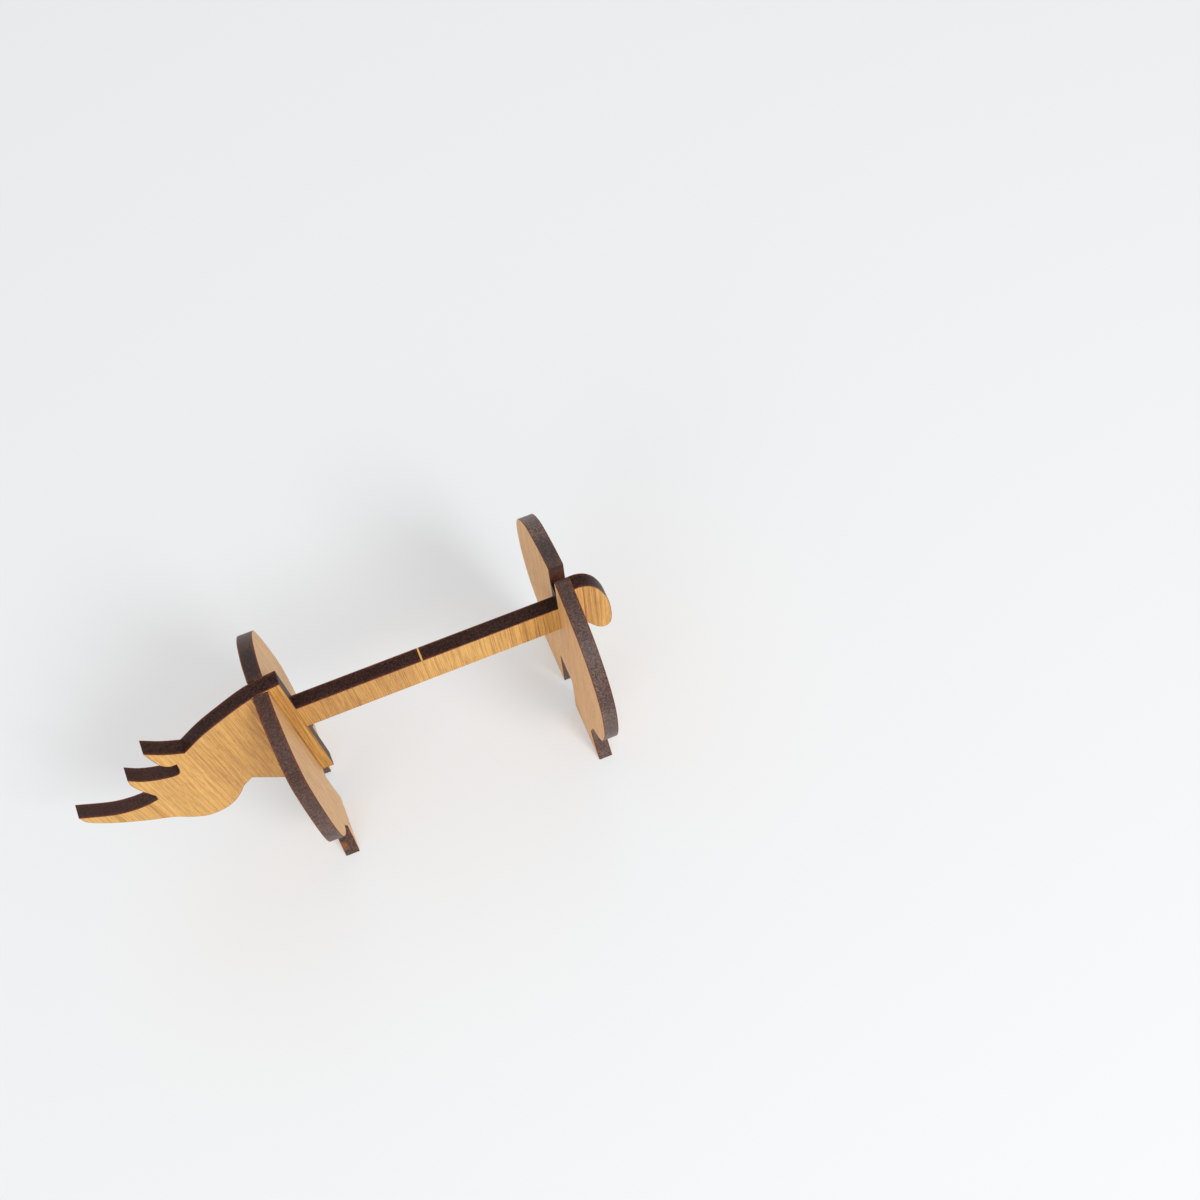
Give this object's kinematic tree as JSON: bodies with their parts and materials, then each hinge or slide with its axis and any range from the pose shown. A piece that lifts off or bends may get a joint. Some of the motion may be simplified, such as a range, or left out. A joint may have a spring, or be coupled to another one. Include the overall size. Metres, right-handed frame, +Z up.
{
  "type": "novelty toilet roll holder",
  "caption": "Free-standing toilet roll holder in the shape of a rhinoceros: a flat spine board with a roll bar, slotted onto front and rear leg plates.",
  "frame": {"origin": "on the floor, under the middle of the object's bounding box", "axes": "+X from the horn to the tail along the roll bar, +Y across the legs to the animal's right, +Z up"},
  "size_m": [0.2186, 0.093, 0.1091],
  "materials": {
    "gold_veneer": "satin",
    "front_veneer": "satin",
    "rear_veneer": "satin"
  },
  "bodies": {
    "spine": {"spine": "gold_veneer"},
    "front_legs": {"front_leg_plate": "front_veneer"},
    "rear_legs": {"rear_leg_plate": "rear_veneer"}
  },
  "joints": [
    {"name": "front_lap", "type": "slide", "parent": "spine", "child": "front_legs", "axis": [0, 0, -1], "range_m": [0, 0.08]},
    {"name": "rear_lap", "type": "slide", "parent": "spine", "child": "rear_legs", "axis": [0, 0, -1], "range_m": [0, 0.0378]}
  ]
}
